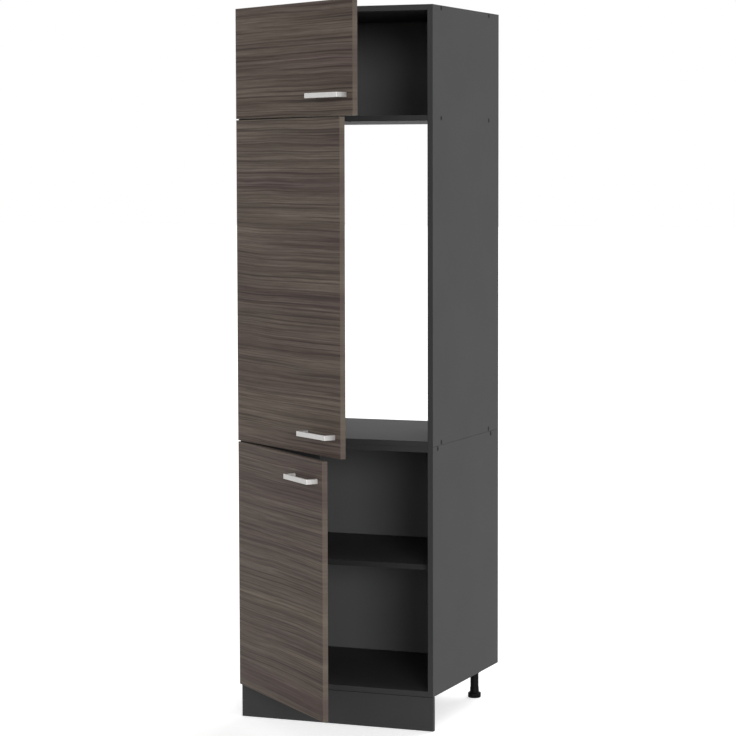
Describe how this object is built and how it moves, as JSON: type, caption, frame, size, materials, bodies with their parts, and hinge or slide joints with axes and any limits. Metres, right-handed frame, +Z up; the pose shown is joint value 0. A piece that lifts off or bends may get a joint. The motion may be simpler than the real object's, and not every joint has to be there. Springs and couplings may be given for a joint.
{
  "type": "fridge housing unit",
  "caption": "Tall kitchen cabinet for a built-in fridge: stacked carcasses on a plinth with levelling legs, an open-backed niche and hinged doors with bow handles.",
  "frame": {"origin": "on the floor, midway between the sides, in the plane of the carcass front edges", "axes": "+X to the right seen from the front, +Y to the back, +Z up"},
  "size_m": [0.6015, 0.9948, 2.07],
  "materials": {
    "carcass_board": "fine-grained matt melamine on chipboard, dark grey",
    "plinth_board": "matt melamine on chipboard, dark grey",
    "back_board": "lacquered hardboard, dark grey",
    "door_front": "dark brown-grey wood decor with horizontal grain, textured matt",
    "door_edge": "wood decor edge band, a little lighter than the front",
    "handle_metal": "satin nickel, brushed along its length",
    "hinge_steel": "nickel-plated pressed steel",
    "cup_metal": "nickel-plated die-cast zinc",
    "leg_plastic": "black moulded plastic",
    "cap_plastic": "dark grey moulded plastic",
    "bumper_rubber": "soft translucent pad"
  },
  "bodies": {
    "carcass": {"arm_pins": "hinge_steel", "fridge_base_panel": "carcass_board", "hinge_plates": "hinge_steel", "intermediate_shelf": "carcass_board", "leg_sockets": "leg_plastic", "leg_tubes": "leg_plastic", "lower_back_panel": "back_board", "lower_bottom_panel": "carcass_board", "lower_hinge_arms": "hinge_steel", "lower_left_side": "carcass_board", "lower_right_side": "carcass_board", "lower_shelf": "carcass_board", "lower_top_panel": "carcass_board", "middle_hinge_arms": "hinge_steel", "plinth_board": "plinth_board", "plinth_clips": "leg_plastic", "screw_caps": "cap_plastic", "shelf_pins": "hinge_steel", "upper_back_panel": "back_board", "upper_hinge_arms": "hinge_steel", "upper_left_side": "carcass_board", "upper_right_side": "carcass_board", "upper_top_panel": "carcass_board"},
    "upper_outer_link_set": {"upper_outer_links": "hinge_steel"},
    "upper_door_leaf": {"upper_bumpers": "bumper_rubber", "upper_cup_pins": "hinge_steel", "upper_door": "door_front", "upper_edge_band": "door_edge", "upper_handle": "handle_metal", "upper_hinge_cups": "cup_metal"},
    "upper_inner_link_set": {"upper_inner_links": "hinge_steel"},
    "middle_outer_link_set": {"middle_outer_links": "hinge_steel"},
    "middle_door_leaf": {"middle_bumpers": "bumper_rubber", "middle_cup_pins": "hinge_steel", "middle_door": "door_front", "middle_edge_band": "door_edge", "middle_handle": "handle_metal", "middle_hinge_cups": "cup_metal"},
    "middle_inner_link_set": {"middle_inner_links": "hinge_steel"},
    "lower_outer_link_set": {"lower_outer_links": "hinge_steel"},
    "lower_door_leaf": {"lower_bumpers": "bumper_rubber", "lower_cup_pins": "hinge_steel", "lower_door": "door_front", "lower_edge_band": "door_edge", "lower_handle": "handle_metal", "lower_hinge_cups": "cup_metal"},
    "lower_inner_link_set": {"lower_inner_links": "hinge_steel"},
    "front_left_foot_body": {"front_left_foot": "leg_plastic"},
    "front_right_foot_body": {"front_right_foot": "leg_plastic"},
    "rear_left_foot_body": {"rear_left_foot": "leg_plastic"},
    "rear_right_foot_body": {"rear_right_foot": "leg_plastic"}
  },
  "joints": [
    {"name": "upper_arm_pivot", "type": "hinge", "parent": "carcass", "child": "upper_outer_link_set", "pos_m": [-0.264, 0.0116, 1.91187], "axis": [0, 0, 1], "range_deg": [-9.65, 16.95]},
    {"name": "upper_door_swing", "type": "hinge", "parent": "upper_outer_link_set", "child": "upper_door_leaf", "pos_m": [-0.28654, -0.00842, 1.91187], "axis": [0, 0, 1], "range_deg": [-77.55, 42.05]},
    {"name": "upper_inner_pivot", "type": "hinge", "parent": "upper_door_leaf", "child": "upper_inner_link_set", "pos_m": [-0.28555, -0.01291, 1.91187], "axis": [0, 0, 1], "range_deg": [-43.42, 79.23]},
    {"name": "middle_arm_pivot", "type": "hinge", "parent": "carcass", "child": "middle_outer_link_set", "pos_m": [-0.264, 0.0116, 1.28513], "axis": [0, 0, 1], "range_deg": [-10.71, 15.89]},
    {"name": "middle_door_swing", "type": "hinge", "parent": "middle_outer_link_set", "child": "middle_door_leaf", "pos_m": [-0.28617, -0.00883, 1.28513], "axis": [0, 0, 1], "range_deg": [-72.39, 47.21]},
    {"name": "middle_inner_pivot", "type": "hinge", "parent": "middle_door_leaf", "child": "middle_inner_link_set", "pos_m": [-0.2855, -0.01338, 1.28513], "axis": [0, 0, 1], "range_deg": [-48.62, 74.03]},
    {"name": "lower_arm_pivot", "type": "hinge", "parent": "carcass", "child": "lower_outer_link_set", "pos_m": [-0.264, 0.0116, 0.45825], "axis": [0, 0, 1], "range_deg": [-12.14, 14.47]},
    {"name": "lower_door_swing", "type": "hinge", "parent": "lower_outer_link_set", "child": "lower_door_leaf", "pos_m": [-0.28566, -0.00938, 0.45825], "axis": [0, 0, 1], "range_deg": [-65.47, 54.14]},
    {"name": "lower_inner_pivot", "type": "hinge", "parent": "lower_door_leaf", "child": "lower_inner_link_set", "pos_m": [-0.28542, -0.01397, 0.45825], "axis": [0, 0, 1], "range_deg": [-55.61, 67.04]},
    {"name": "front_left_foot_height", "type": "slide", "parent": "carcass", "child": "front_left_foot_body", "axis": [0, 0, 1], "range_m": [-0.015, 0.012]},
    {"name": "front_right_foot_height", "type": "slide", "parent": "carcass", "child": "front_right_foot_body", "axis": [0, 0, 1], "range_m": [-0.015, 0.012]},
    {"name": "rear_left_foot_height", "type": "slide", "parent": "carcass", "child": "rear_left_foot_body", "axis": [0, 0, 1], "range_m": [-0.015, 0.012]},
    {"name": "rear_right_foot_height", "type": "slide", "parent": "carcass", "child": "rear_right_foot_body", "axis": [0, 0, 1], "range_m": [-0.015, 0.012]}
  ],
  "couplings": [
    {"joint": "upper_arm_pivot", "follows": "upper_door_swing", "ratio": -0.20572},
    {"joint": "upper_inner_pivot", "follows": "upper_door_swing", "ratio": -1.0087},
    {"joint": "middle_arm_pivot", "follows": "middle_door_swing", "ratio": -0.20572},
    {"joint": "middle_inner_pivot", "follows": "middle_door_swing", "ratio": -1.0087},
    {"joint": "lower_arm_pivot", "follows": "lower_door_swing", "ratio": -0.20572},
    {"joint": "lower_inner_pivot", "follows": "lower_door_swing", "ratio": -1.0087}
  ]
}
